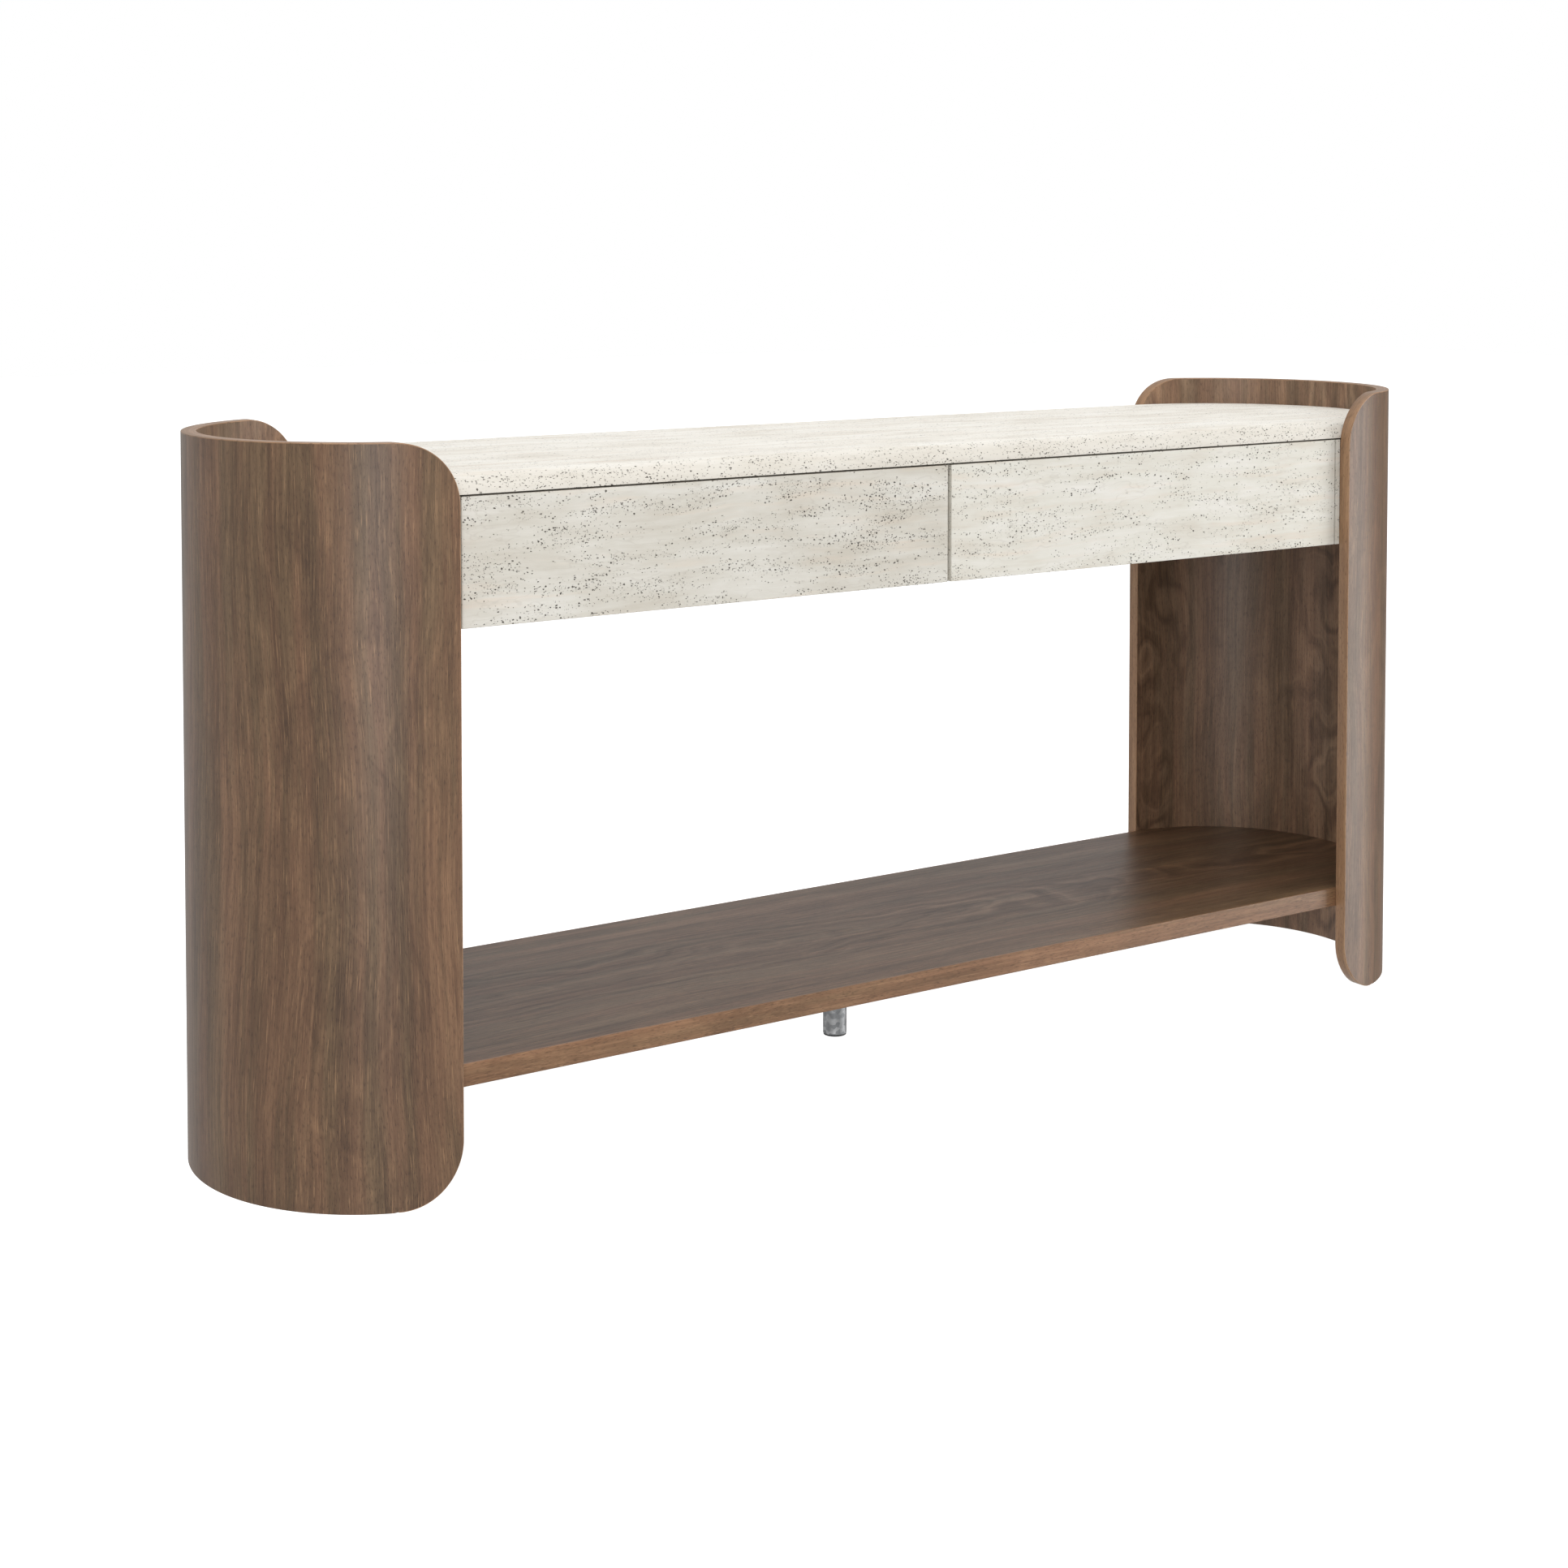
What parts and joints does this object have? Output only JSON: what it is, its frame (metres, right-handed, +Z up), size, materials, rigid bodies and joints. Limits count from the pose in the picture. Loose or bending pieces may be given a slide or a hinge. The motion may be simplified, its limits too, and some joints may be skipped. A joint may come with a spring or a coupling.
{
  "type": "console table",
  "caption": "Long console table with half-round walnut side panels, a stone-look top over two pull-out drawers, a lower shelf and a short centre leg.",
  "frame": {"origin": "centre of the footprint on the floor", "axes": "+X along the table's length, -Y towards the drawer fronts, +Z up"},
  "size_m": [1.6338, 0.4056, 0.762],
  "materials": {
    "walnut_veneer": "satin",
    "walnut_veneer_board": "satin",
    "walnut_edging": "satin",
    "travertine": "honed",
    "travertine_board": "honed",
    "plywood": "matte",
    "birch_plywood": "satin",
    "beech": "matte",
    "slide_steel": "satin",
    "zinc_screw": "satin",
    "galvanised_steel": "mottled",
    "black_plastic": "matte",
    "clear_bumper": "satin"
  },
  "bodies": {
    "table": {"left_side_panel": "walnut_veneer", "right_side_panel": "walnut_veneer", "table_top": "travertine", "sub_top": "plywood", "case_bottom": "walnut_veneer_board", "left_case_end": "plywood", "right_case_end": "plywood", "centre_divider": "plywood", "case_back": "travertine_board", "left_filler_strip": "travertine", "right_filler_strip": "travertine", "drawer_bumpers": "clear_bumper", "lower_shelf": "walnut_veneer", "shelf_front_edging": "walnut_edging", "shelf_back_edging": "walnut_edging", "left_panel_edging": "walnut_edging", "right_panel_edging": "walnut_edging", "shelf_dowels": "beech", "case_dowels": "beech", "top_fixing_screws": "zinc_screw", "centre_leg": "galvanised_steel", "leg_mounting_plate": "galvanised_steel", "leg_plate_screws": "zinc_screw", "leg_glide": "black_plastic", "case_rail_screws": "zinc_screw", "left_outboard_case_rail": "slide_steel", "left_inboard_case_rail": "slide_steel", "right_outboard_case_rail": "slide_steel", "right_inboard_case_rail": "slide_steel"},
    "left_drawer": {"left_drawer_face": "travertine", "left_drawer_inner_front": "birch_plywood", "left_drawer_outboard_side": "birch_plywood", "left_drawer_inboard_side": "birch_plywood", "left_drawer_back": "birch_plywood", "left_drawer_bottom": "birch_plywood", "left_outboard_drawer_rail": "slide_steel", "left_inboard_drawer_rail": "slide_steel", "left_drawer_rail_screws": "zinc_screw", "left_drawer_face_screws": "zinc_screw"},
    "left_outboard_middle": {"left_outboard_middle_rail": "slide_steel"},
    "left_inboard_middle": {"left_inboard_middle_rail": "slide_steel"},
    "right_drawer": {"right_drawer_face": "travertine", "right_drawer_inner_front": "birch_plywood", "right_drawer_outboard_side": "birch_plywood", "right_drawer_inboard_side": "birch_plywood", "right_drawer_back": "birch_plywood", "right_drawer_bottom": "birch_plywood", "right_outboard_drawer_rail": "slide_steel", "right_inboard_drawer_rail": "slide_steel", "right_drawer_rail_screws": "zinc_screw", "right_drawer_face_screws": "zinc_screw"},
    "right_outboard_middle": {"right_outboard_middle_rail": "slide_steel"},
    "right_inboard_middle": {"right_inboard_middle_rail": "slide_steel"}
  },
  "joints": [
    {"name": "left_drawer_slide", "type": "slide", "parent": "table", "child": "left_drawer", "axis": [0, -1, 0], "range_m": [0, 0.28]},
    {"name": "left_outboard_middle_slide", "type": "slide", "parent": "table", "child": "left_outboard_middle", "axis": [0, -1, 0], "range_m": [0, 0.14]},
    {"name": "left_inboard_middle_slide", "type": "slide", "parent": "table", "child": "left_inboard_middle", "axis": [0, -1, 0], "range_m": [0, 0.14]},
    {"name": "right_drawer_slide", "type": "slide", "parent": "table", "child": "right_drawer", "axis": [0, -1, 0], "range_m": [0, 0.28]},
    {"name": "right_outboard_middle_slide", "type": "slide", "parent": "table", "child": "right_outboard_middle", "axis": [0, -1, 0], "range_m": [0, 0.14]},
    {"name": "right_inboard_middle_slide", "type": "slide", "parent": "table", "child": "right_inboard_middle", "axis": [0, -1, 0], "range_m": [0, 0.14]}
  ],
  "couplings": [
    {"joint": "left_outboard_middle_slide", "follows": "left_drawer_slide", "ratio": 0.5},
    {"joint": "left_inboard_middle_slide", "follows": "left_drawer_slide", "ratio": 0.5},
    {"joint": "right_outboard_middle_slide", "follows": "right_drawer_slide", "ratio": 0.5},
    {"joint": "right_inboard_middle_slide", "follows": "right_drawer_slide", "ratio": 0.5}
  ]
}
